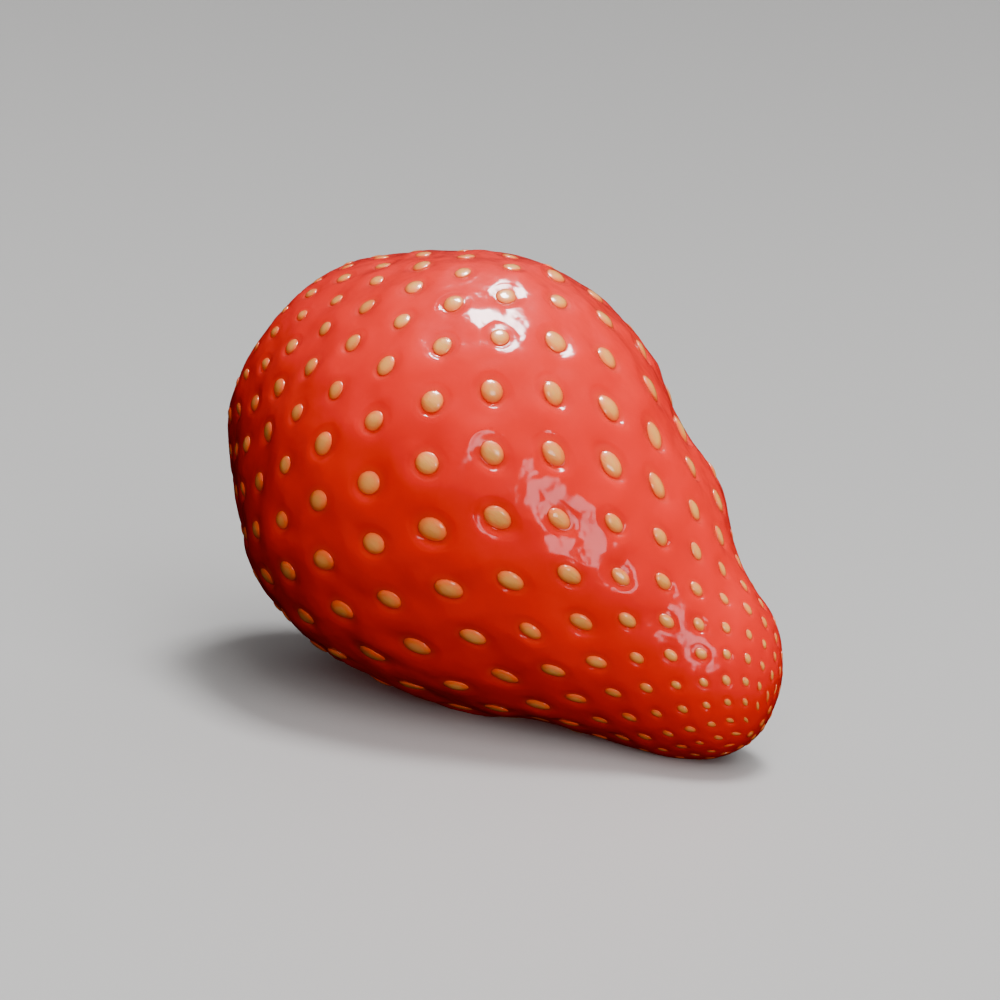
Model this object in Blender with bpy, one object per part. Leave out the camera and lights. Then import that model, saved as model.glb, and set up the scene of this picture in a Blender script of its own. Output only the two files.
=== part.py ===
"""Whole strawberry without its leaves, lying on its flank as picked.

The fruit grew as one piece, so it is one solid: a turned outline with a few broad
swells, the hollow scar where the leaves came off, and the two small flats that it lies
on. The seeds and their pits are a few tenths of a millimetre deep and are left out.

Places on the skin are given by seed rows and columns. Rows are rings round the fruit,
numbered from the leaf scar (0) to the tip (ROWS), and COLUMNS columns run between them.
"""

import math

import bmesh
import bpy
import numpy as np
from mathutils import Matrix, Vector

# Driving dimensions, in metres ---------------------------------------------------------
MM = 0.001
ROWS = 31
COLUMNS = 30

# Half of the lengthwise section, from the scar to the tip:
# row, distance along the fruit's axis (mm), radius (mm).
OUTLINE = (
    (0, 0.90, 0.00),
    (1, 1.15, 2.40),
    (2, 0.30, 4.55),
    (3, 0.00, 6.00),
    (4, 0.45, 7.10),
    (7, 3.65, 10.10),
    (10, 7.60, 13.00),
    (13, 12.45, 14.55),
    (16, 19.05, 13.55),
    (19, 26.60, 10.10),
    (22, 32.20, 6.90),
    (25, 36.00, 5.25),
    (27, 37.75, 4.10),
    (29, 39.05, 2.60),
    (31, 39.80, 0.00),
)

# Broad swells and hollows of the flesh: row, column, height (mm), reach (mm).
SWELLS = (
    (10.0, 14.5, 0.20, 4.0),
    (12.7, 14.5, -0.35, 5.0),
    (16.0, -1.0, 0.35, 4.0),
    (17.3, -1.0, -0.35, 3.5),
    (19.8, -1.5, 0.55, 4.5),
    (22.2, -1.5, -0.35, 3.0),
    (24.2, -1.5, 0.35, 3.0),
    (15.5, 14.5, -0.20, 3.5),
    (18.0, 15.0, 0.30, 3.5),
    (19.8, 15.0, -0.30, 3.5),
    (22.4, 15.0, 0.35, 4.0),
    (12.0, 22.0, 0.45, 8.0),
    (17.0, 25.0, -0.35, 6.0),
)

TIP_LEAN = 0.55 * MM       # how far the tip end bends off the axis
TIP_LEAN_ROW = 22          # the row where the bend starts
TILT = math.radians(26.5)  # the axis dips this much towards the tip
SIDE_UP = math.radians(12.6)   # direction round the fruit that faces up, from column 0
PRESS = 0.45 * MM          # how deep the flesh is pressed flat where it lies
FACES_AROUND = 64
FACES_ALONG = 56

SKIN_RED = (0.62, 0.022, 0.012, 1.0)
SKIN_ROUGHNESS = 0.2


def spline(knots, values, level_ends):
    """A curve through the knots that is smooth in slope and curvature.

    With level_ends its slope is zero at both ends, otherwise its curvature is.
    """
    count = len(knots)
    gap = np.diff(knots)
    rise = np.diff(values) / gap
    system = np.zeros((count, count))
    target = np.zeros(count)
    for i in range(1, count - 1):
        system[i, i - 1:i + 2] = (gap[i], 2 * (gap[i - 1] + gap[i]), gap[i - 1])
        target[i] = 3 * (gap[i] * rise[i - 1] + gap[i - 1] * rise[i])
    if level_ends:
        system[0, 0] = system[-1, -1] = 1
    else:
        system[0, :2] = (2, 1)
        system[-1, -2:] = (1, 2)
        target[0], target[-1] = 3 * rise[0], 3 * rise[-1]
    slopes = np.linalg.solve(system, target)

    def curve(at):
        i = min(max(int(np.searchsorted(knots, at, side="right")) - 1, 0), count - 2)
        t = (at - knots[i]) / gap[i]
        start = values[i] * (1 + 2 * t) * (1 - t) ** 2 + slopes[i] * gap[i] * t * (1 - t) ** 2
        end = values[i + 1] * t * t * (3 - 2 * t) - slopes[i + 1] * gap[i] * t * t * (1 - t)
        return start + end

    return curve


KNOTS, ALONG, RADIUS = (np.array(values, float) for values in zip(*OUTLINE))
along_at = spline(KNOTS, ALONG * MM, level_ends=True)
radius_at = spline(KNOTS, RADIUS * MM, level_ends=False)


def plain_form(row, column):
    """A point of the turned form, on the fruit's own axes: X runs to the tip."""
    angle = 2 * math.pi * column / COLUMNS
    lean = TIP_LEAN * max(0.0, (row - TIP_LEAN_ROW) / (ROWS - TIP_LEAN_ROW)) ** 2
    radius = radius_at(row)
    return Vector((along_at(row), radius * math.cos(angle) - lean, radius * math.sin(angle)))


def outward(row, column):
    """The turned form's outward normal."""
    step = 0.01
    row = min(max(row, step), ROWS - step)
    to_tip = plain_form(row + step, column) - plain_form(row - step, column)
    around = plain_form(row, column + step) - plain_form(row, column - step)
    return around.cross(to_tip).normalized()


SWELL_TOPS = [(plain_form(row, column), height * MM, reach * MM) for row, column, height, reach in SWELLS]


def skin(row, column):
    """A point of the skin, on the fruit's own axes: the turned form with its swells."""
    point = plain_form(row, column)
    height = sum(swell * math.exp(-((point - top).length / reach) ** 2) for top, swell, reach in SWELL_TOPS)
    return point + outward(row, column) * height


def make_skin_material():
    """Ripe, shiny red skin."""
    material = bpy.data.materials.new("strawberry_skin")
    material.use_nodes = True
    shader = material.node_tree.nodes["Principled BSDF"]
    shader.inputs["Base Color"].default_value = SKIN_RED
    shader.inputs["Roughness"].default_value = SKIN_ROUGHNESS
    shader.inputs["Metallic"].default_value = 0.0
    return material


def make_strawberry(collection):
    """The fruit as one solid: a sphere's rings and columns drawn out to the skin."""
    form = bmesh.new()
    bmesh.ops.create_uvsphere(form, u_segments=FACES_AROUND, v_segments=FACES_ALONG, radius=1.0)
    for vertex in form.verts:
        x, y, z = vertex.co
        row = ROWS * (1 - math.acos(min(max(z, -1.0), 1.0)) / math.pi)
        column = COLUMNS * math.atan2(y, x) / (2 * math.pi)
        vertex.co = skin(row, column)

    # Up comes the side that faces up, and down goes the tip.
    lie = Matrix.Rotation(TILT, 4, "Y") @ Matrix.Rotation(math.pi / 2 - SIDE_UP, 4, "X")
    bmesh.ops.transform(form, matrix=lie, verts=form.verts)

    # The flesh presses flat on the surface, and the origin is the middle of its footprint.
    ground = min(vertex.co.z for vertex in form.verts) + PRESS
    xs = [vertex.co.x for vertex in form.verts]
    ys = [vertex.co.y for vertex in form.verts]
    middle_x = (min(xs) + max(xs)) / 2
    middle_y = (min(ys) + max(ys)) / 2
    for vertex in form.verts:
        vertex.co = (vertex.co.x - middle_x, vertex.co.y - middle_y, max(vertex.co.z - ground, 0.0))

    mesh = bpy.data.meshes.new("strawberry")
    form.to_mesh(mesh)
    form.free()
    mesh.shade_smooth()
    mesh.materials.append(make_skin_material())
    collection.objects.link(bpy.data.objects.new("strawberry", mesh))


def main():
    for old in list(bpy.data.objects):
        bpy.data.objects.remove(old, do_unlink=True)
    collection = bpy.data.collections.new("strawberry")
    bpy.context.scene.collection.children.link(collection)
    make_strawberry(collection)


main()
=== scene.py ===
"""Looks of a whole strawberry without its leaves, lying on its flank.

The flesh is one closed skin with a shallow pit round every seed, the seeds are low domes
in the pits, and the blunt end has the pale scar where the leaves came off. All of them
follow one form, which is the solid's own: places on it are given by seed rows, counted
from the leaf scar to the tip, and by columns round the fruit. Lengths are in metres.
"""

import logging
import math
from dataclasses import dataclass
from enum import Enum
from typing import Any, Callable

import bmesh
import bpy
import numpy as np
from mathutils import Matrix, Vector, noise


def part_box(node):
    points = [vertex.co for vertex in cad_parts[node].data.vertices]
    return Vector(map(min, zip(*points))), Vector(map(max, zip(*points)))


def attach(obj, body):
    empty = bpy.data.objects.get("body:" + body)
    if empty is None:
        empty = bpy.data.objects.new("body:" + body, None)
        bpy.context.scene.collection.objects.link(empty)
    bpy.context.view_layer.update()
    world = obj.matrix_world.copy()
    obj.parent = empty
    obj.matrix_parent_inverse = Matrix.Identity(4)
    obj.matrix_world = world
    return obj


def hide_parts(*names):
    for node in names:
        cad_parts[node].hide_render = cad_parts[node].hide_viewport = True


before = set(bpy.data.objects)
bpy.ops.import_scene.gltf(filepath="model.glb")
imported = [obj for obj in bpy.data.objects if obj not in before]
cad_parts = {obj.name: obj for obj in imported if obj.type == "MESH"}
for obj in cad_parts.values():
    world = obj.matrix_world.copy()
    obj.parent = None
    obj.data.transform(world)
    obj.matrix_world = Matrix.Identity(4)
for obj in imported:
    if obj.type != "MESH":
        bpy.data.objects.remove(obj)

LOG = logging.getLogger("strawberry")
MM = 0.001
NODE = "strawberry"
BODY = "root"
WELD = 1e-6                 # points nearer than this are one point
WELD_DESIGN = 1e-4          # the same on a design that isn't in metres yet
FAR = 9.0                   # stands for "no seed near", in seed radii


# The fruit's form ------------------------------------------------------------------------

class Spline:
    """A curve through given points that is smooth in slope and curvature."""

    def __init__(self, knots: np.ndarray, values: np.ndarray, level_ends: bool) -> None:
        """Solves the slopes at the points.

        Args:
            knots: where the points are, in rising order.
            values: what the curve is there.
            level_ends: whether the slope, and not the curvature, is zero at both ends.
        """
        self.knots = knots
        self.values = values
        self.gap = np.diff(knots)
        rise = np.diff(values) / self.gap
        count = len(knots)
        system = np.zeros((count, count))
        target = np.zeros(count)
        for i in range(1, count - 1):
            system[i, i - 1:i + 2] = (self.gap[i], 2 * (self.gap[i - 1] + self.gap[i]), self.gap[i - 1])
            target[i] = 3 * (self.gap[i] * rise[i - 1] + self.gap[i - 1] * rise[i])
        if level_ends:
            system[0, 0] = system[-1, -1] = 1
        else:
            system[0, :2] = (2, 1)
            system[-1, -2:] = (1, 2)
            target[0], target[-1] = 3 * rise[0], 3 * rise[-1]
        self.slopes = np.linalg.solve(system, target)

    def __call__(self, at: np.ndarray) -> np.ndarray:
        """Reads the curve.

        Args:
            at: places on the curve, in the knots' measure.

        Returns:
            The curve's values there.
        """
        i = np.clip(np.searchsorted(self.knots, at, side="right") - 1, 0, len(self.gap) - 1)
        gap = self.gap[i]
        t = (at - self.knots[i]) / gap
        start = self.values[i] * (1 + 2 * t) * (1 - t) ** 2 + self.slopes[i] * gap * t * (1 - t) ** 2
        end = self.values[i + 1] * t * t * (3 - 2 * t) - self.slopes[i + 1] * gap * t * t * (1 - t)
        return start + end


def smooth_step(value: np.ndarray, low: float, high: float) -> np.ndarray:
    """0 below low, 1 above high, and a smooth rise between them."""
    t = np.clip((value - low) / (high - low), 0.0, 1.0)
    return t * t * (3 - 2 * t)


def direction(azimuth: float, elevation: float) -> Vector:
    """The way from the fruit to something, by degrees round from the front and up."""
    turn, rise = math.radians(azimuth), math.radians(elevation)
    return Vector((math.sin(turn) * math.cos(rise), -math.cos(turn) * math.cos(rise), math.sin(rise)))


@dataclass
class FruitForm:
    """The solid's own form: a turned outline with broad swells, lying on its flank."""

    rows: int = 31
    columns: int = 30
    # Row, distance along the fruit's axis (mm), radius (mm).
    outline: tuple[tuple[float, float, float], ...] = (
        (0, 0.90, 0.00), (1, 1.15, 2.40), (2, 0.30, 4.55), (3, 0.00, 6.00), (4, 0.45, 7.10),
        (7, 3.65, 10.10), (10, 7.60, 13.00), (13, 12.45, 14.55), (16, 19.05, 13.55), (19, 26.60, 10.10),
        (22, 32.20, 6.90), (25, 36.00, 5.25), (27, 37.75, 4.10), (29, 39.05, 2.60), (31, 39.80, 0.00),
    )
    # Row, column, height (mm), reach (mm).
    swells: tuple[tuple[float, float, float, float], ...] = (
        (10.0, 14.5, 0.20, 4.0), (12.7, 14.5, -0.35, 5.0), (16.0, -1.0, 0.35, 4.0),
        (17.3, -1.0, -0.35, 3.5), (19.8, -1.5, 0.55, 4.5), (22.2, -1.5, -0.35, 3.0),
        (24.2, -1.5, 0.35, 3.0), (15.5, 14.5, -0.20, 3.5), (18.0, 15.0, 0.30, 3.5),
        (19.8, 15.0, -0.30, 3.5), (22.4, 15.0, 0.35, 4.0), (12.0, 22.0, 0.45, 8.0),
        (17.0, 25.0, -0.35, 6.0),
    )
    tip_lean: float = 0.55 * MM         # how far the tip end bends off the axis
    tip_lean_row: float = 22.0          # the row where the bend starts
    tilt: float = math.radians(26.5)    # the axis dips this much towards the tip
    side_up: float = math.radians(12.6)  # direction round the fruit that faces up, from column 0
    samples: int = 121                  # rows and columns that are tried for the form's extent
    cap_rows: int = 6                   # the tip's cap ends this many rows before the pole
    cap_samples: int = 400              # rows that are tried there for a radius

    def __post_init__(self) -> None:
        """Works out the curves, the swells' places and where the fruit lies in the frame."""
        knots, along, radius = (np.array(values, float) for values in zip(*self.outline))
        self.along_at = Spline(knots, along * MM, level_ends=True)
        self.radius_at = Spline(knots, radius * MM, level_ends=False)
        at = np.array(self.swells, float)
        self.swell_tops = self.plain(at[:, 0], at[:, 1])
        self.turn = np.array(Matrix.Rotation(self.tilt, 3, "Y")
                             @ Matrix.Rotation(math.pi / 2 - self.side_up, 3, "X"))
        low, high = (np.array(corner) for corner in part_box(NODE))
        row, column = np.meshgrid(np.linspace(0, self.rows, self.samples),
                                  np.linspace(0, self.columns, self.samples))
        body = self.skin(row.ravel(), column.ravel()) @ self.turn.T
        middle = (body.min(0) + body.max(0)) / 2
        self.shift = np.array([(low[0] + high[0]) / 2 - middle[0], (low[1] + high[1]) / 2 - middle[1],
                               high[2] - body[:, 2].max()])
        self.ground = low[2]

    def plain(self, row: np.ndarray, column: np.ndarray) -> np.ndarray:
        """Points of the turned form, without swells.

        Args:
            row: rows, from the leaf scar to the tip.
            column: columns round the fruit.

        Returns:
            The points on the fruit's own axes, whose X runs to the tip.
        """
        angle = 2 * math.pi * column / self.columns
        past = np.clip((row - self.tip_lean_row) / (self.rows - self.tip_lean_row), 0.0, None)
        radius = self.radius_at(row)
        return np.stack([self.along_at(row), radius * np.cos(angle) - self.tip_lean * past ** 2,
                         radius * np.sin(angle)], axis=-1)

    def outward(self, row: np.ndarray, column: np.ndarray) -> np.ndarray:
        """The turned form's outward directions.

        Args:
            row: rows.
            column: columns.

        Returns:
            Directions on the fruit's own axes, each of length one.
        """
        step = 0.01     # rows and columns to either side
        row = np.clip(row, step, self.rows - step)
        to_tip = self.plain(row + step, column) - self.plain(row - step, column)
        around = self.plain(row, column + step) - self.plain(row, column - step)
        normal = np.cross(around, to_tip)
        return normal / np.linalg.norm(normal, axis=-1, keepdims=True)

    def skin(self, row: np.ndarray, column: np.ndarray, height: np.ndarray | float = 0.0) -> np.ndarray:
        """Points of the form with its swells.

        Args:
            row: rows.
            column: columns.
            height: how far above the form the points are.

        Returns:
            The points on the fruit's own axes.
        """
        point = self.plain(row, column)
        swell = np.zeros(len(point))
        for top, (_, _, rise, reach) in zip(self.swell_tops, self.swells):
            away = np.linalg.norm(point - top, axis=-1)
            swell += rise * MM * np.exp(-(away / (reach * MM)) ** 2)
        return point + self.outward(row, column) * (swell + height)[:, None]

    def place(self, points: np.ndarray) -> np.ndarray:
        """Lays points down with the fruit.

        Args:
            points: points on the fruit's own axes.

        Returns:
            The points in the frame, pressed flat where they lie on the ground.
        """
        placed = points @ self.turn.T + self.shift
        placed[:, 2] = np.maximum(placed[:, 2], self.ground)
        return placed

    def cell(self, row: np.ndarray) -> tuple[np.ndarray, np.ndarray]:
        """How far apart rows and columns are on the skin.

        Args:
            row: the rows where it is wanted.

        Returns:
            The distance from row to row, and from column to column.
        """
        step = 0.05     # rows to either side
        row = np.clip(row, step, self.rows - step)
        forward = self.along_at(row + step) - self.along_at(row - step)
        outward = self.radius_at(row + step) - self.radius_at(row - step)
        apart = np.hypot(forward, outward) / (2 * step)
        return apart, 2 * math.pi * np.abs(self.radius_at(row)) / self.columns

    def row_of_radius(self, radius: np.ndarray) -> np.ndarray:
        """The row on the tip's cap that has this radius."""
        rows = np.linspace(self.rows, self.rows - self.cap_rows, self.cap_samples)
        return np.interp(radius, self.radius_at(rows), rows)


@dataclass
class Spots:
    """Places on the skin, and how each lies to its seed."""

    row: np.ndarray
    column: np.ndarray
    away: np.ndarray        # how far from the seed's middle, in seed radii
    below: np.ndarray       # -1 above the seed to 1 below it, as the fruit lies
    size: np.ndarray        # the seed's size beside the mean
    depth: np.ndarray       # its pit's depth beside the mean


@dataclass
class SeedLayout:
    """Where the seeds sit, how big they are, and the relief of the skin round them."""

    form: FruitForm
    first_row: int = 4
    last_row: int = 29
    across: float = 0.245           # half a seed's width, in columns
    along: float = 0.326            # half its length, in rows
    size_spread: float = 0.12       # how much the seeds differ, as a share
    depth_spread: float = 0.45      # how much their pits' depths differ, as a share
    turn_spread: float = math.radians(9)    # how far they turn from the rows
    stray: float = 0.035            # how far they stray from their places, in rows and columns
    cap_seeds: int = 11             # seeds on the very tip, in a spiral
    cap_reach: float = 1.72 * MM    # how far from the axis the last of them sits
    cap_size: float = 0.27 * MM     # their radius
    cap_start: float = 0.35         # how far along the spiral the first of them sits
    # A seed's own size, turn and place count in full up to the first of these distances from
    # its middle and not at all past the second, as rows and columns added up.
    hold: tuple[float, float] = (0.42, 1.0)
    # A pit's wall and the soft rim round it, in seed radii: where each starts and ends, and
    # how deep it goes above the seed and below it.
    walls: tuple[tuple[float, float, float, float], ...] = (
        (1.02, 1.50, 0.01, 0.31), (1.50, 1.88, 0.04, 0.04),
    )
    lean: float = 3.0               # how sharply a pit deepens towards its lower side
    pillow: float = 0.02 * MM       # rise of the skin between seeds
    pillow_start: tuple[float, float] = (-1.5, 0.5)     # where it sets in, in rows from the first seeds
    pillow_end: tuple[float, float] = (-0.5, 1.0)       # where it fades, in rows from the last seeds
    # The flesh's soft unevenness: height and size of its lumps.
    lumps: tuple[tuple[float, float], ...] = ((0.21 * MM, 2.6 * MM), (0.08 * MM, 1.2 * MM))
    lump_room: float = 2.4 * MM     # where seeds are closer than this, the lumps shrink
    seed: int = 7

    def __post_init__(self) -> None:
        """Draws each seed's own size, turn and place, and lays out the seeds on the tip."""
        random = np.random.default_rng(self.seed)
        shape = (self.form.rows + 1, self.form.columns)
        self.sizes = 1 + self.size_spread * random.uniform(-1, 1, shape)
        self.turns = self.turn_spread * random.uniform(-1, 1, shape)
        self.strays = self.stray * random.uniform(-1, 1, (2, *shape))
        self.depths = 1 + self.depth_spread * random.uniform(-1, 1, shape)
        golden = math.pi * (3 - math.sqrt(5))
        number = np.arange(self.cap_seeds)
        share = (number + self.cap_start) / (self.cap_seeds - 1 + self.cap_start)
        away = self.cap_reach * np.sqrt(share)
        self.cap = np.stack([away * np.cos(golden * number), away * np.sin(golden * number)], axis=-1)

    def lattice(self) -> list[tuple[int, int]]:
        """Row and column of each seed outside the tip's cap."""
        return [(row, column) for row in range(self.first_row, self.last_row + 1)
                for column in range(self.form.columns) if (row + column) % 2 == 0]

    def settle(self, row: np.ndarray, column: np.ndarray) -> Spots:
        """Moves places on the regular pattern along with its seeds, which aren't quite regular.

        Args:
            row: rows on the regular pattern.
            column: columns on the regular pattern.

        Returns:
            The moved places.
        """
        along, across = np.round((row + column) / 2), np.round((row - column) / 2)
        seed_row, seed_column = along + across, along - across
        up, aside = row - seed_row, column - seed_column
        known = (seed_row >= self.first_row) & (seed_row <= self.last_row)
        away = np.where(known, np.hypot(up / self.along, aside / self.across), FAR)
        own = (np.clip(seed_row, 0, self.form.rows).astype(int),
               seed_column.astype(int) % self.form.columns)
        hold = np.where(known, 1 - smooth_step(np.abs(up) + np.abs(aside), *self.hold), 0.0)
        size = 1 + (self.sizes[own] - 1) * hold
        turn = self.turns[own] * hold
        seed_place = self.form.plain(np.clip(seed_row, 0, self.form.rows), seed_column)
        apart = seed_place - self.form.plain(row, column)
        below = apart @ self.form.turn[2] / np.maximum(np.linalg.norm(apart, axis=-1), WELD)
        row_gap, column_gap = self.form.cell(np.clip(seed_row, 1, self.form.rows - 1))
        stretch = column_gap / row_gap
        moved_up = size * (up * np.cos(turn) + aside * stretch * np.sin(turn))
        moved_aside = size * (aside * np.cos(turn) - up / stretch * np.sin(turn))
        return Spots(seed_row + moved_up + hold * self.strays[0][own],
                     seed_column + moved_aside + hold * self.strays[1][own], away,
                     below * np.minimum(away, 1.0), self.sizes[own], self.depths[own])

    def from_cap_seed(self, row: np.ndarray, column: np.ndarray) -> np.ndarray:
        """How far places are from the nearest seed on the tip's cap.

        Args:
            row: rows.
            column: columns.

        Returns:
            The distances, in seed radii.
        """
        angle = 2 * math.pi * column / self.form.columns
        radius = self.form.radius_at(row)
        spot = np.stack([radius * np.cos(angle), radius * np.sin(angle)], axis=-1)
        away = np.linalg.norm(spot[:, None] - self.cap[None], axis=-1).min(1) / self.cap_size
        return np.where(row > self.form.rows - self.form.cap_rows, away, FAR)

    def pit(self, away: np.ndarray, below: np.ndarray) -> np.ndarray:
        """Height of the skin in a pit, in seed radii.

        Args:
            away: distance from the seed's middle, in seed radii.
            below: -1 above the seed to 1 below it.

        Returns:
            The height, which is zero outside the pit.
        """
        height = np.zeros(len(away))
        share = ((1 + below) / 2) ** self.lean
        for start, end, above, under in self.walls:
            height -= (above + (under - above) * share) * (1 - smooth_step(away, start, end))
        return height

    def seed_radius(self, row: np.ndarray) -> np.ndarray:
        """The mean radius of a seed at these rows."""
        row_gap, column_gap = self.form.cell(row)
        return np.sqrt(self.along * self.across * row_gap * column_gap)

    def pillows(self, row: np.ndarray, column: np.ndarray) -> np.ndarray:
        """Height of the skin without its pits: it bulges between seeds, with soft lumps.

        Args:
            row: rows.
            column: columns.

        Returns:
            The heights.
        """
        inside = smooth_step(row - self.first_row, *self.pillow_start)
        inside *= 1 - smooth_step(row - self.last_row, *self.pillow_end)
        row_gap, column_gap = self.form.cell(row)
        small = np.clip(np.sqrt(row_gap * column_gap) / self.lump_room, 0.0, 1.0)
        height = -self.pillow * inside * np.cos(math.pi * row) * np.cos(math.pi * column)
        spots = self.form.plain(row, column)
        for lump, size in self.lumps:
            height += lump * np.array([noise.noise(Vector(spot)) for spot in spots / size])
        return small * height


# Shaping --------------------------------------------------------------------------------

def read_places(form: bmesh.types.BMesh) -> np.ndarray:
    """The vertices' places in a design, one row each."""
    return np.array([vertex.co for vertex in form.verts], float)


def to_mesh(form: bmesh.types.BMesh, name: str) -> bpy.types.Mesh:
    """Makes a mesh of a design.

    Args:
        form: the design. It is freed.
        name: the mesh's name.

    Returns:
        The mesh.
    """
    mesh = bpy.data.meshes.new(name)
    form.to_mesh(mesh)
    form.free()
    return mesh


def to_object(form: bmesh.types.BMesh, name: str, places: np.ndarray,
              marks: dict[str, np.ndarray]) -> bpy.types.Object:
    """Turns a design into a closed piece in the frame.

    Args:
        form: the faces, on a flat design of columns and rows. It is freed.
        name: the piece's name.
        places: where each vertex goes, in the frame.
        marks: numbers kept on the vertices, by name.

    Returns:
        The piece, at the origin.
    """
    form.verts.ensure_lookup_table()
    layers = {mark: form.verts.layers.float.new(mark) for mark in marks}
    for vertex, place in zip(form.verts, places):
        vertex.co = place
    for mark, values in marks.items():
        for vertex, value in zip(form.verts, values):
            vertex[layers[mark]] = value
    bmesh.ops.remove_doubles(form, verts=form.verts, dist=WELD)
    bmesh.ops.holes_fill(form, edges=form.edges, sides=0)
    bmesh.ops.recalc_face_normals(form, faces=form.faces)
    mesh = to_mesh(form, name)
    mesh.shade_smooth()
    piece = bpy.data.objects.new(name, mesh)
    bpy.context.scene.collection.objects.link(piece)
    return piece


def grow_ring(form: bmesh.types.BMesh, edges: list[bmesh.types.BMEdge],
              move: Callable[[Vector], Vector | tuple[float, float, float]]) -> list[bmesh.types.BMEdge]:
    """Extrudes edges to a new ring.

    Args:
        form: the design.
        edges: the edges to extrude.
        move: where a point of the old ring goes.

    Returns:
        The new ring's edges.
    """
    grown = bmesh.ops.extrude_edge_only(form, edges=edges)["geom"]
    ring = {part for part in grown if isinstance(part, bmesh.types.BMVert)}
    for vertex in ring:
        vertex.co = move(vertex.co)
    return [part for part in grown
            if isinstance(part, bmesh.types.BMEdge) and ring.issuperset(part.verts)]


@dataclass
class Flesh:
    """The fruit's whole skin: rings round each seed out to its neighbours, and two closed ends."""

    layout: SeedLayout
    around: int = 24                # points round a seed, a multiple of 4
    coarse_row: int = 20            # from here on the seeds are small and take fewer rings
    fine_rings: tuple[float, ...] = (0.94, 1.07, 1.19, 1.31, 1.43, 1.56, 1.68, 1.78, 1.88)
    coarse_rings: tuple[float, ...] = (0.94, 1.10, 1.28, 1.48, 1.70, 1.88)
    fine_blends: int = 3            # rings between the last round one and the diamond
    coarse_blends: int = 2
    scar_rings: int = 9
    tip_rings: int = 12
    far_mark: float = 4.0           # longer distances from a seed are kept as this, in seed radii

    def rosette(self, rings: tuple[float, ...], blends: int) -> bpy.types.Mesh:
        """One seed's surroundings as a flat design: rings that end in a diamond.

        Args:
            rings: radii of the oval rings, in seed radii.
            blends: how many rings lead from the last of them to the diamond.

        Returns:
            The design's mesh, its X in columns and its Y in rows, round the seed.
        """
        form = bmesh.new()
        bmesh.ops.create_circle(form, cap_ends=True, segments=self.around, radius=rings[0])
        edges = list(form.edges)
        radii = [*rings, *(rings[-1] + step + 1 for step in range(blends))]
        for inner, outer in zip(radii, radii[1:]):
            edges = grow_ring(form, edges, lambda at, grow=outer / inner: at * grow)
        for vertex in form.verts:
            vertex.co = self.fit(vertex.co, rings[-1], blends)
        return to_mesh(form, "rosette")

    def fit(self, at: Vector, last: float, blends: int) -> Vector:
        """Takes a point of the round rings to its place.

        Args:
            at: the point, its distance in seed radii.
            last: the radius up to which rings turn into ovals. Those past it are a unit
                apart, and turn by steps into the diamond, whose sides neighbours share.
            blends: how many rings are past it.

        Returns:
            The place, in columns and rows.
        """
        share = max(at.length - last, 0.0) / blends
        oval = at.normalized() * min(at.length, last)
        oval = Vector((oval.x * self.layout.across, oval.y * self.layout.along, 0.0))
        return oval.lerp(at / (abs(at.x) + abs(at.y)), share)

    def close_end(self, form: bmesh.types.BMesh, last_seeds: int, pole: int, rings: int) -> None:
        """Grows the design's zigzag end to the pole.

        Args:
            form: the design.
            last_seeds: the last row of seeds before the pole.
            pole: the pole's row.
            rings: how many rings lead to the pole.
        """
        side = math.copysign(1, pole - last_seeds)
        edges = [edge for edge in form.edges if edge.is_boundary
                 and all((vertex.co.y - last_seeds) * side > -WELD_DESIGN for vertex in edge.verts)]
        for step in range(rings):
            share = 1 / (rings - step)
            edges = grow_ring(form, edges, lambda at, share=share: (
                at.x, at.y + (pole - at.y) * share, 0.0))

    def build(self) -> bpy.types.Object:
        """Makes the skin's mesh.

        Returns:
            The piece.
        """
        form = bmesh.new()
        fine = self.rosette(self.fine_rings, self.fine_blends)
        coarse = self.rosette(self.coarse_rings, self.coarse_blends)
        for row, column in self.layout.lattice():
            start = len(form.verts)
            form.from_mesh(coarse if row >= self.coarse_row else fine)
            form.verts.ensure_lookup_table()
            bmesh.ops.translate(form, verts=form.verts[start:], vec=(column, row, 0))
        bpy.data.meshes.remove(fine)
        bpy.data.meshes.remove(coarse)
        bmesh.ops.remove_doubles(form, verts=form.verts, dist=WELD_DESIGN)
        self.close_end(form, self.layout.first_row, 0, self.scar_rings)
        self.close_end(form, self.layout.last_row, self.layout.form.rows, self.tip_rings)
        design = read_places(form)
        body, layout = self.layout.form, self.layout
        spots = layout.settle(design[:, 1], design[:, 0])
        on_cap = layout.from_cap_seed(spots.row, spots.column)
        height = layout.seed_radius(spots.row) * spots.size * spots.depth
        height *= layout.pit(spots.away, spots.below)
        height += layout.cap_size * layout.pit(on_cap, np.zeros(len(on_cap)))
        height += layout.pillows(spots.row, spots.column)
        from_seed = np.minimum(np.minimum(spots.away, on_cap), self.far_mark)
        marks = {"row": spots.row, "from_seed": from_seed}
        return to_object(form, "flesh", body.place(body.skin(spots.row, spots.column, height)), marks)


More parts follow.
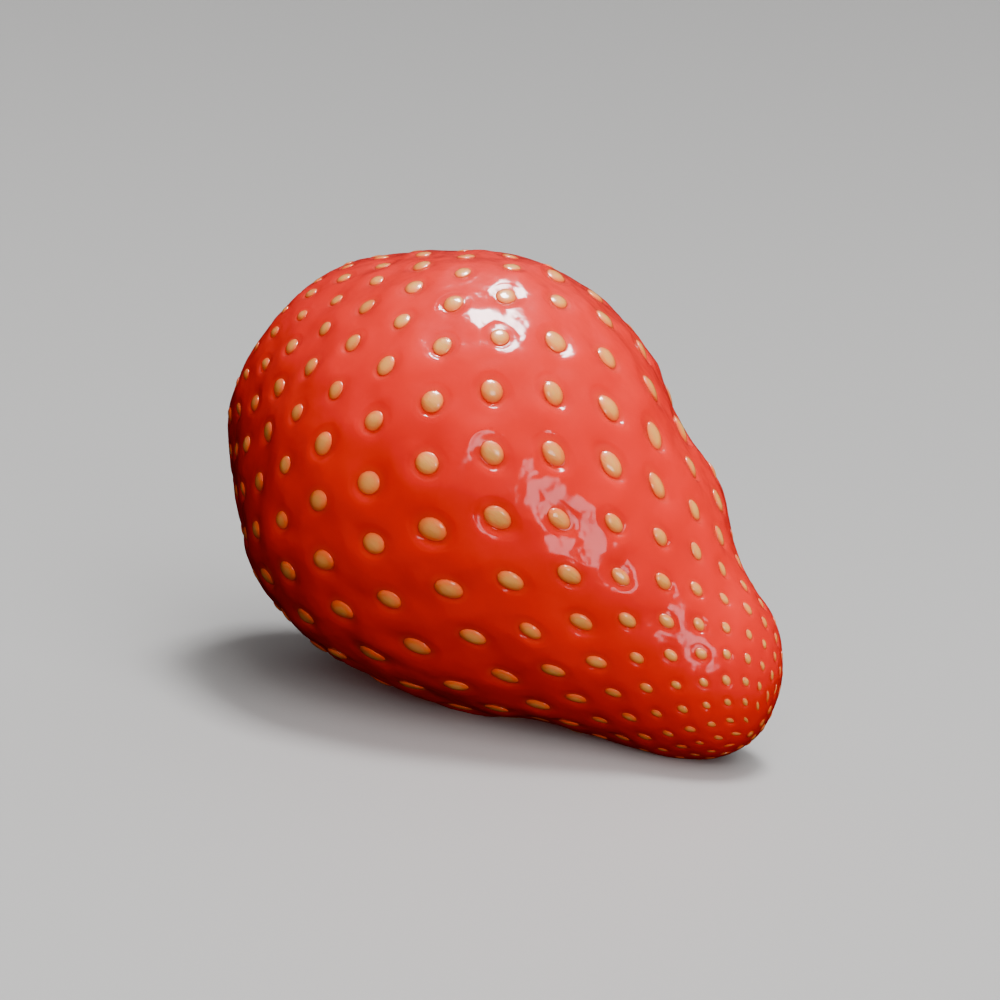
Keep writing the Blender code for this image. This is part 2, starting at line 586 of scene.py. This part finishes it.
@dataclass
class Seeds:
    """The seeds: low oval domes, one in each pit."""

    layout: SeedLayout
    around: int = 16
    up: int = 6                     # steps from pole to pole of the ball that a dome is half of
    height: float = 0.25            # a dome's height, in seed radii
    sunk: float = 0.03              # how deep its edge sits in the pit, in seed radii
    lit_side: tuple[float, float] = (45.0, 45.0)   # the way, round and up, that the lights come from: seeds facing it are painted palest, as painted light
    lit_facing: tuple[float, float] = (-0.1, 0.9)      # how far a seed faces that way, from full painted shade (deeper orange) to none
    tint_spread: float = 0.3        # how much of a seed's tint is its own; the rest is painted light and shade by the way it faces
    seed: int = 11

    def dome(self) -> bpy.types.Mesh:
        """One seed's dome, with a radius of 1.

        Returns:
            Its mesh: half of a sphere, closed below.
        """
        form = bmesh.new()
        bmesh.ops.create_uvsphere(form, u_segments=self.around, v_segments=self.up, radius=1.0)
        bmesh.ops.bisect_plane(form, geom=[*form.verts, *form.edges, *form.faces], dist=WELD_DESIGN,
                               plane_co=(0, 0, 0), plane_no=(0, 0, 1), clear_inner=True)
        bmesh.ops.create_circle(form, cap_ends=True, segments=self.around, radius=1.0)
        bmesh.ops.remove_doubles(form, verts=form.verts, dist=WELD_DESIGN)
        return to_mesh(form, "dome")

    def build(self) -> bpy.types.Object:
        """Makes all the seeds as one piece.

        Returns:
            The piece.
        """
        body, layout = self.layout.form, self.layout
        dome = self.dome()
        shape = np.array([vertex.co for vertex in dome.vertices], float)
        lattice = np.array(layout.lattice(), float)
        total = len(lattice) + len(layout.cap)
        form = bmesh.new()
        for _ in range(total):
            form.from_mesh(dome)
        bpy.data.meshes.remove(dome)
        at = lattice[:, None, :] + shape[:, 1::-1] * (layout.along, layout.across)
        spots = layout.settle(at[..., 0].ravel(), at[..., 1].ravel())
        radius = layout.seed_radius(np.repeat(lattice[:, 0], len(shape))) * spots.size
        cap = (layout.cap[:, None] + shape[:, :2] * layout.cap_size).reshape(-1, 2)
        row = np.append(spots.row, body.row_of_radius(np.hypot(*cap.T)))
        column = np.append(spots.column, np.arctan2(cap[:, 1], cap[:, 0]) * body.columns / (2 * math.pi))
        radius = np.append(radius, np.full(len(cap), layout.cap_size))
        below = np.append(spots.below, np.zeros(len(cap)))
        depth = np.append(spots.depth, np.ones(len(cap)))
        across, along, rise = np.tile(shape, (total, 1)).T
        pit = depth * layout.pit(np.zeros(len(radius)), below)
        height = radius * (pit - self.sunk + self.height * rise)
        # Painted light and shade: seeds facing away from the lights are tinted deeper orange, those
        # facing them stay pale straw.
        facing_lights = body.outward(row, column) @ body.turn.T @ np.array(direction(*self.lit_side))
        own = np.random.default_rng(self.seed).uniform(0, 1, total).repeat(len(shape))
        painted_shade = 1 - smooth_step(facing_lights, *self.lit_facing)
        tone_and_lit_side = own * self.tint_spread + painted_shade * (1 - self.tint_spread)
        marks = {"tone_and_lit_side": tone_and_lit_side, "rise": rise, "across": across, "along": along}
        places = body.place(body.skin(row, column, height + layout.pillows(row, column)))
        return to_object(form, "seeds", places, marks)


@dataclass
class LeafScar:
    """The pale scar at the blunt end: a thin lens of torn fibres, set in the flesh."""

    layout: SeedLayout
    reach: float = 1.75             # its edge's row
    ragged: float = 0.16            # how uneven the edge is, in rows
    ragged_turns: float = 2.2       # how fast it changes round the scar
    around: int = 132
    rings: int = 18
    crown: float = 0.16 * MM        # how proud of the flesh its middle stands
    crown_edge: int = 6             # how sharply that falls off towards its edge
    root: float = 0.35 * MM         # how deep its underside lies
    root_reach: float = 0.5         # how far in the underside goes, as a share of the radius
    sunk: float = 0.02 * MM         # how deep its edge sits in the flesh
    fibre: float = 0.09 * MM        # height of the torn fibres
    fibre_turns: tuple[float, float] = (7.0, 3.0)   # how fast they change round the scar and along it
    fibre_start: tuple[float, float] = (0.08, 0.35)  # where they set in, as a share of the radius
    fibre_edge: int = 3             # how sharply they fall off towards the edge
    stalk_row: float = 0.45         # the torn stalk's edge
    stalk_slope: tuple[float, float] = (0.55, 1.3)  # where its side starts and ends, beside that
    stalk: float = 0.35 * MM        # the torn stalk's height
    stalk_ragged: float = 0.5       # how uneven it is, as a share
    stalk_turns: tuple[float, float] = (3.0, 9.0)   # how fast that changes round it and along it
    under: int = 3                  # rings of the underside

    def build(self) -> bpy.types.Object:
        """Makes the scar.

        Returns:
            The piece.
        """
        body = self.layout.form
        form = bmesh.new()
        bmesh.ops.create_grid(form, x_segments=self.around, y_segments=self.rings + self.under, size=0.5)
        design = read_places(form)
        column = (design[:, 0] + 0.5) * body.columns
        step = (design[:, 1] + 0.5) * (self.rings + self.under)
        share = np.minimum(step / self.rings, 1.0)
        under = np.maximum(step - self.rings, 0.0) / self.under
        angle = column * 2 * math.pi / body.columns
        ring = np.stack([np.cos(angle), np.sin(angle)], axis=-1)
        edge = self.reach + self.ragged * self.torn(ring * self.ragged_turns, np.zeros(len(ring)))
        row = edge * share * (1 - self.root_reach * under)
        turns, steps = self.fibre_turns
        fibres = self.torn(ring * turns, share * steps) * smooth_step(share, *self.fibre_start)
        fibres *= 1 - share ** self.fibre_edge
        stalk = self.stalk * (1 - smooth_step(row / self.stalk_row, *self.stalk_slope))
        turns, steps = self.stalk_turns
        stalk *= 1 + self.stalk_ragged * self.torn(ring * turns * share[:, None], share * steps)
        top = self.crown * (1 - share ** self.crown_edge) + self.fibre * fibres + stalk
        height = np.where(under > 0, -self.root * under, top) - self.sunk
        height += self.layout.pillows(row, column)
        marks = {"row": row, "fibre": fibres}
        return to_object(form, "leaf_scar", body.place(body.skin(row, column, height)), marks)

    @staticmethod
    def torn(ring: np.ndarray, along: np.ndarray) -> np.ndarray:
        """Unevenness from -1 to 1, for each point's place round the scar and along its radius."""
        return np.array([noise.noise(Vector((x, y, z))) for (x, y), z in zip(ring, along)])


# Finishes -------------------------------------------------------------------------------

class Signal:
    """A number or colour that varies over a surface and can be used in plain arithmetic."""

    def __init__(self, recipe: "Recipe", socket: bpy.types.NodeSocket) -> None:
        """Keeps the socket that gives the value, and the recipe it is part of."""
        self.recipe = recipe
        self.socket = socket

    def _math(self, operation: str, first: Any, second: Any) -> "Signal":
        """One sum, difference, product or power."""
        return self.recipe.node("ShaderNodeMath", {"operation": operation}, {0: first, 1: second})

    def __add__(self, other: Any) -> "Signal":
        """This plus another."""
        return self._math("ADD", self, other)

    __radd__ = __add__

    def __sub__(self, other: Any) -> "Signal":
        """This minus another."""
        return self._math("SUBTRACT", self, other)

    def __rsub__(self, other: Any) -> "Signal":
        """Another minus this."""
        return self._math("SUBTRACT", other, self)

    def __mul__(self, other: Any) -> "Signal":
        """This times another."""
        return self._math("MULTIPLY", self, other)

    __rmul__ = __mul__

    def rising(self, low: float, high: float) -> "Signal":
        """Turns this into a share.

        Args:
            low: where the share is still 0.
            high: where it has risen smoothly to 1.

        Returns:
            The share.
        """
        settings = {"interpolation_type": "SMOOTHSTEP"}
        sockets = {"Value": self, "From Min": low, "From Max": high}
        return self.recipe.node("ShaderNodeMapRange", settings, sockets)


class Recipe:
    """A material that is put together from nodes."""

    def __init__(self, name: str) -> None:
        """Starts with a plain surface shader.

        Args:
            name: the material's name.
        """
        self.material = bpy.data.materials.new(name)
        self.material.use_nodes = True
        self.tree = self.material.node_tree
        self.shader = self.tree.nodes["Principled BSDF"]

    def node(self, kind: str, settings: dict[str, Any], sockets: dict[Any, Any],
             output: Any = 0) -> Signal:
        """Adds one node.

        Args:
            kind: the node's type.
            settings: its own properties, set before its sockets.
            sockets: values or signals, by the socket's name or number.
            output: the name or number of the output wanted.

        Returns:
            The output as a signal.
        """
        made = self.tree.nodes.new(kind)
        for name, value in settings.items():
            setattr(made, name, value)
        for name, value in sockets.items():
            self.feed(made.inputs[name], value)
        return Signal(self, made.outputs[output])

    def feed(self, socket: bpy.types.NodeSocket, value: Any) -> None:
        """Links or sets a socket.

        Args:
            socket: the socket.
            value: a signal, which is linked to it, or a plain value.
        """
        if isinstance(value, Signal):
            self.tree.links.new(value.socket, socket)
        else:
            socket.default_value = value

    def mark(self, name: str) -> Signal:
        """The number that the piece's points carry under this name."""
        return self.node("ShaderNodeAttribute", {"attribute_name": name}, {}, "Fac")

    def grain(self, per_metre: float, detail: float) -> Signal:
        """Soft random unevenness over the piece.

        Args:
            per_metre: how many lumps there are to the metre.
            detail: how many times finer lumps are added.

        Returns:
            The unevenness, from 0 to 1.
        """
        place = self.node("ShaderNodeTexCoord", {}, {}, "Object")
        sockets = {"Vector": place, "Scale": per_metre, "Detail": detail}
        return self.node("ShaderNodeTexNoise", {}, sockets, "Fac")

    def blend(self, share: Any, first: Any, second: Any) -> Signal:
        """A colour between two, by share."""
        return self.node("ShaderNodeMix", {"data_type": "RGBA"}, {0: share, 6: first, 7: second}, 2)

    def bump(self, height: Signal, distance: float) -> Signal:
        """Directions of a surface that rises by this distance where the height is 1."""
        return self.node("ShaderNodeBump", {}, {"Height": height, "Distance": distance, "Strength": 1.0})

    def finish(self, sockets: dict[str, Any]) -> bpy.types.Material:
        """Completes the material.

        Args:
            sockets: values or signals for the shader's sockets, by name.

        Returns:
            The material.
        """
        for name, value in sockets.items():
            self.feed(self.shader.inputs[name], value)
        return self.material


Colour = tuple[float, float, float, float]


@dataclass(frozen=True)
class SkinFinish:
    """Ripe, wet-looking red skin over slightly translucent flesh."""

    red: Colour = (0.79, 0.008, 0.004, 1.0)
    deep_red: Colour = (0.72, 0.005, 0.003, 1.0)
    # Painted light: paler, more orange flesh in the pits round the seeds, lifting their shade.
    pit_light: Colour = (0.84, 0.022, 0.005, 1.0)
    shoulder: Colour = (0.80, 0.10, 0.025, 1.0)
    roughness: float = 0.13
    uneven: float = 0.06            # how much the roughness varies
    patch: float = 120.0            # patches of deeper red to the metre
    patch_edge: tuple[float, float] = (0.35, 0.65)  # the grain's values between which they set in
    patch_strength: float = 0.6
    pit_light_reach: tuple[float, float] = (1.0, 1.5)     # where the painted light in a pit fades, in seed radii: paler, more orange flesh round the seed that lifts the pit's shade
    pit_light_strength: float = 0.8
    shoulder_rows: tuple[float, float] = (1.6, 4.0)  # where the shoulder's colour fades
    shoulder_dull: float = 0.22     # how much rougher the shoulder is
    wave: float = 900.0             # fine waves to the metre
    wave_height: float = 0.085 * MM
    glow: float = 0.4               # share of the skin that has a broad, dull shine as well
    shoulder_glow: float = 0.4      # how much of that the shoulder keeps

    def make(self) -> bpy.types.Material:
        """Makes the finish.

        Returns:
            The material.
        """
        recipe = Recipe("ripe_skin")
        patches = recipe.grain(self.patch, 3.0).rising(*self.patch_edge)
        colour = recipe.blend(patches * self.patch_strength, self.red, self.deep_red)
        # Painted light in the pits: the flesh round each seed is paler and more orange, offsetting the
        # shade there.
        in_pit_light = 1 - recipe.mark("from_seed").rising(*self.pit_light_reach)
        colour = recipe.blend(in_pit_light * self.pit_light_strength, colour, self.pit_light)
        at_shoulder = 1 - recipe.mark("row").rising(*self.shoulder_rows)
        colour = recipe.blend(at_shoulder, colour, self.shoulder)
        roughness = self.roughness + (recipe.grain(self.wave, 2.0) - 0.5) * self.uneven
        roughness += at_shoulder * self.shoulder_dull
        glow = self.glow * (1 - at_shoulder * (1 - self.shoulder_glow))
        return recipe.finish({
            "Base Color": colour, "Roughness": roughness, "IOR": 1.5,
            "Normal": recipe.bump(recipe.grain(self.wave, 1.5), self.wave_height),
            "Coat Weight": glow, "Coat Roughness": 0.65, "Coat IOR": 1.5,
            "Subsurface Weight": 1.0, "Subsurface Radius": (1.0, 0.25, 0.12),
            "Subsurface Scale": 2.0 * MM})


@dataclass(frozen=True)
class SeedFinish:
    """Straw-coloured seeds with a glossy coat, palest on top and redder where they meet the flesh, with
    painted light: paler on the side that faces the lights.
    """

    straw: Colour = (1.0, 0.42, 0.085, 1.0)
    # The seeds' deeper tone, also used as painted shade on seeds facing away from the lights.
    tan_and_painted_shade: Colour = (1.0, 0.12, 0.008, 1.0)
    edge: Colour = (0.95, 0.05, 0.004, 1.0)
    crown: Colour = (1.0, 0.44, 0.11, 1.0)
    edge_rise: tuple[float, float] = (0.10, 1.0)    # up the dome, where the edge's colour fades
    edge_strength: float = 0.9
    crown_rise: tuple[float, float] = (0.74, 1.0)   # up the dome, where the crown's colour sets in
    crown_strength: float = 0.5
    streak: float = 1.6             # streaks along half a seed
    streak_narrow: float = 5.0      # how many times closer they are across it
    streak_own: float = 40.0        # how far apart the streaks of two seeds are drawn
    streak_edge: tuple[float, float] = (0.45, 0.7)  # the grain's values between which they set in
    streak_strength: float = 0.4
    streak_height: float = 0.02 * MM

    def make(self) -> bpy.types.Material:
        """Makes the finish.

        Returns:
            The material.
        """
        recipe = Recipe("seed_coat")
        # The tint mark carries each seed's own tone and painted light: pale straw on the side facing the
        # lights, tan as painted shade on the side away.
        own = recipe.mark("tone_and_lit_side")
        colour = recipe.blend(own, self.straw, self.tan_and_painted_shade)
        at_edge = 1 - recipe.mark("rise").rising(*self.edge_rise)
        colour = recipe.blend(at_edge * self.edge_strength, colour, self.edge)
        across = recipe.mark("across") * self.streak_narrow
        drawn = {0: across, 1: recipe.mark("along"), 2: own * self.streak_own}
        place = recipe.node("ShaderNodeCombineXYZ", {}, drawn)
        sockets = {"Vector": place, "Scale": self.streak, "Detail": 3.0}
        streaks = recipe.node("ShaderNodeTexNoise", {}, sockets, "Fac")
        in_streak = streaks.rising(*self.streak_edge)
        colour = recipe.blend(in_streak * self.streak_strength, colour, self.tan_and_painted_shade)
        on_top = recipe.mark("rise").rising(*self.crown_rise) * (0.7 + streaks * 0.6)
        colour = recipe.blend(on_top * self.crown_strength, colour, self.crown)
        return recipe.finish({
            "Base Color": colour, "Roughness": 0.36 + streaks * 0.16, "IOR": 1.5,
            "Coat Weight": 1.0, "Coat Roughness": 0.08, "Coat IOR": 1.7,
            "Normal": recipe.bump(streaks, self.streak_height),
            "Subsurface Weight": 0.6, "Subsurface Radius": (1.0, 0.3, 0.08),
            "Subsurface Scale": 0.1 * MM})


@dataclass(frozen=True)
class ScarFinish:
    """Dull, pale fibres where the leaves came off, browner at the torn stalk."""

    pale: Colour = (0.76, 0.57, 0.32, 1.0)
    brown: Colour = (0.42, 0.25, 0.10, 1.0)
    blush: Colour = (0.72, 0.07, 0.025, 1.0)
    fibre_edge: tuple[float, float] = (-0.35, 0.35)     # their heights, from brown to pale
    brown_strength: float = 0.6     # in the gaps between the fibres
    blush_strength: float = 0.8     # towards the edge
    blush_rows: tuple[float, float] = (1.05, 1.75)
    stalk_strength: float = 0.5
    stalk_rows: tuple[float, float] = (0.2, 0.55)
    roughness: float = 0.75
    edge_shine: float = 0.25        # how much smoother the edge is

    def make(self) -> bpy.types.Material:
        """Makes the finish.

        Returns:
            The material.
        """
        recipe = Recipe("torn_fibres")
        streaks = recipe.mark("fibre").rising(*self.fibre_edge)
        colour = recipe.blend((1 - streaks) * self.brown_strength, self.pale, self.brown)
        to_edge = recipe.mark("row").rising(*self.blush_rows)
        colour = recipe.blend(to_edge * self.blush_strength, colour, self.blush)
        stalk = 1 - recipe.mark("row").rising(*self.stalk_rows)
        colour = recipe.blend(stalk * self.stalk_strength, colour, self.brown)
        return recipe.finish({
            "Base Color": colour, "Roughness": self.roughness - to_edge * self.edge_shine,
            "Subsurface Weight": 0.1, "Subsurface Radius": (1.0, 0.7, 0.4),
            "Subsurface Scale": 0.8 * MM})


@dataclass(frozen=True)
class FloorFinish:
    """Plain, pale, matt paper."""

    pale: Colour = (0.42, 0.415, 0.41, 1.0)
    mottle: float = 3.0             # soft mottles to the metre
    roughness: float = 0.55
    uneven: float = 0.04            # how much the roughness varies

    def make(self) -> bpy.types.Material:
        """Makes the finish.

        Returns:
            The material.
        """
        recipe = Recipe("pale_paper")
        roughness = self.roughness + recipe.grain(self.mottle, 1.0) * self.uneven
        return recipe.finish({"Base Color": self.pale, "Roughness": roughness})


class Finish(Enum):
    """The finishes, each with the record's material slot that it belongs to."""

    SKIN = (SkinFinish(), "flesh")
    SEED = (SeedFinish(), "seed")
    SCAR = (ScarFinish(), "scar")

    def dress(self, piece: bpy.types.Object) -> None:
        """Gives a piece this finish.

        Args:
            piece: the piece.
        """
        finish, slot = self.value
        piece.data.materials.append(finish.make())


# The studio -----------------------------------------------------------------------------

@dataclass(frozen=True)
class SoftLight:
    """A soft light with a rectangular face, hung off to one side and aimed at the fruit."""

    name: str
    azimuth: float          # degrees round from the front, to the right
    elevation: float        # degrees above the floor
    distance: float
    width: float
    depth: float
    power: float
    lights_up: bool = True  # whether it lights surfaces
    mirrored: bool = True   # whether it shows in their shine

    def hang(self, middle: Vector) -> None:
        """Makes the light.

        Args:
            middle: the fruit's middle, which it is aimed at.
        """
        lamp = bpy.data.lights.new(self.name, "AREA")
        lamp.shape = "RECTANGLE"
        lamp.size = self.width
        lamp.size_y = self.depth
        lamp.energy = self.power
        light = bpy.data.objects.new(self.name, lamp)
        light.visible_diffuse = self.lights_up
        light.visible_glossy = self.mirrored
        away = direction(self.azimuth, self.elevation)
        light.location = middle + away * self.distance
        light.rotation_mode = "QUATERNION"
        light.rotation_quaternion = (-away).to_track_quat("-Z", "Y")
        bpy.context.scene.collection.objects.link(light)


@dataclass
class Studio:
    """A pale floor that curves up all round, soft lights and the camera."""

    floor_radius: float = 0.12
    sweep: float = 1.5              # radius of the curve in which the floor rises all round
    sweep_end: float = math.radians(60)     # how steep it gets
    sides: int = 128
    sweep_steps: int = 48
    ambient: float = 0.09
    lens: float = 85.0              # focal length, in mm as cameras give it
    clip_start: float = 0.01
    camera_distance: float = 151.5 * MM
    camera_azimuth: float = 24.3
    camera_elevation: float = 10.9
    camera_roll: float = 7.4
    aim: tuple[float, float, float] = (-0.60, -0.51, -1.12)  # from the middle of the fruit's box (mm)
    lights: tuple[SoftLight, ...] = (
        SoftLight("key", 165.0, 82.0, 0.70, 0.18, 0.18, 5.2, mirrored=False),
        SoftLight("shine", 162.0, 81.0, 0.70, 0.26, 0.21, 12.0, lights_up=False),
        SoftLight("panel", 52.0, 14.0, 0.50, 0.12, 0.17, 0.33),
        SoftLight("front", 32.0, 20.0, 0.80, 1.00, 0.80, 7.0, mirrored=False),
        SoftLight("high", 60.0, 60.0, 0.80, 0.70, 0.70, 5.6, mirrored=False),
        SoftLight("back", 180.0, 45.0, 0.80, 0.60, 0.60, 1.6, mirrored=False),
    )

    def lay_floor(self) -> None:
        """Makes the floor with its rim, out of rings drawn outward from a disc."""
        form = bmesh.new()
        bmesh.ops.create_circle(form, cap_ends=True, segments=self.sides, radius=self.floor_radius)
        edges = list(form.edges)
        turn = self.sweep_end / self.sweep_steps
        for i in range(self.sweep_steps):
            out = self.sweep * (math.sin(turn * (i + 1)) - math.sin(turn * i))
            up = self.sweep * (math.cos(turn * i) - math.cos(turn * (i + 1)))
            edges = grow_ring(form, edges, lambda at, out=out, up=up: self.rim_point(at, out, up))
        bmesh.ops.recalc_face_normals(form, faces=form.faces)
        bmesh.ops.reverse_faces(form, faces=form.faces)
        mesh = to_mesh(form, "floor")
        mesh.shade_smooth()
        mesh.materials.append(FloorFinish().make())
        floor = bpy.data.objects.new("floor", mesh)
        floor.visible_glossy = False
        floor.visible_diffuse = False
        bpy.context.scene.collection.objects.link(floor)

    @staticmethod
    def rim_point(at: Vector, out: float, up: float) -> Vector:
        """Where a point of the rim goes, outward and up."""
        level = Vector((at.x, at.y, 0.0))
        return level * (1 + out / level.length) + Vector((0, 0, at.z + up))

    def light(self, middle: Vector) -> None:
        """Hangs the lights and sets the faint light from all round.

        Args:
            middle: the fruit's middle.
        """
        for light in self.lights:
            light.hang(middle)
        world = bpy.data.worlds.new("studio")
        world.use_nodes = True
        background = world.node_tree.nodes["Background"]
        background.inputs["Color"].default_value = (1.0, 1.0, 1.0, 1.0)
        background.inputs["Strength"].default_value = self.ambient
        world.cycles_visibility.glossy = False
        bpy.context.scene.world = world

    def set_camera(self, middle: Vector) -> None:
        """Makes the scene's camera.

        Args:
            middle: the fruit's middle.
        """
        lens = bpy.data.cameras.new("camera")
        lens.lens = self.lens
        lens.clip_start = self.clip_start
        camera = bpy.data.objects.new("camera", lens)
        away = direction(self.camera_azimuth, self.camera_elevation)
        camera.location = middle + Vector(self.aim) * MM + away * self.camera_distance
        level = (-away).to_track_quat("-Z", "Y").to_matrix()
        camera.rotation_mode = "QUATERNION"
        rolled = level @ Matrix.Rotation(math.radians(self.camera_roll), 3, "Z")
        camera.rotation_quaternion = rolled.to_quaternion()
        bpy.context.scene.collection.objects.link(camera)
        bpy.context.scene.camera = camera


def main() -> None:
    """Builds the fruit and the studio."""
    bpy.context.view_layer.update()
    layout = SeedLayout(FruitForm())
    pieces = ((Flesh(layout), Finish.SKIN), (Seeds(layout), Finish.SEED), (LeafScar(layout), Finish.SCAR))
    for maker, finish in pieces:
        piece = maker.build()
        finish.dress(piece)
        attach(piece, BODY)
        if finish is Finish.SKIN:
            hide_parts(NODE)
        LOG.info("%s: %d faces", piece.name, len(piece.data.polygons))
    low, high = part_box(NODE)
    studio = Studio()
    studio.lay_floor()
    studio.light((low + high) / 2)
    studio.set_camera((low + high) / 2)


if __name__ == "__main__":
    logging.basicConfig(level=logging.INFO, format="%(message)s")
    main()
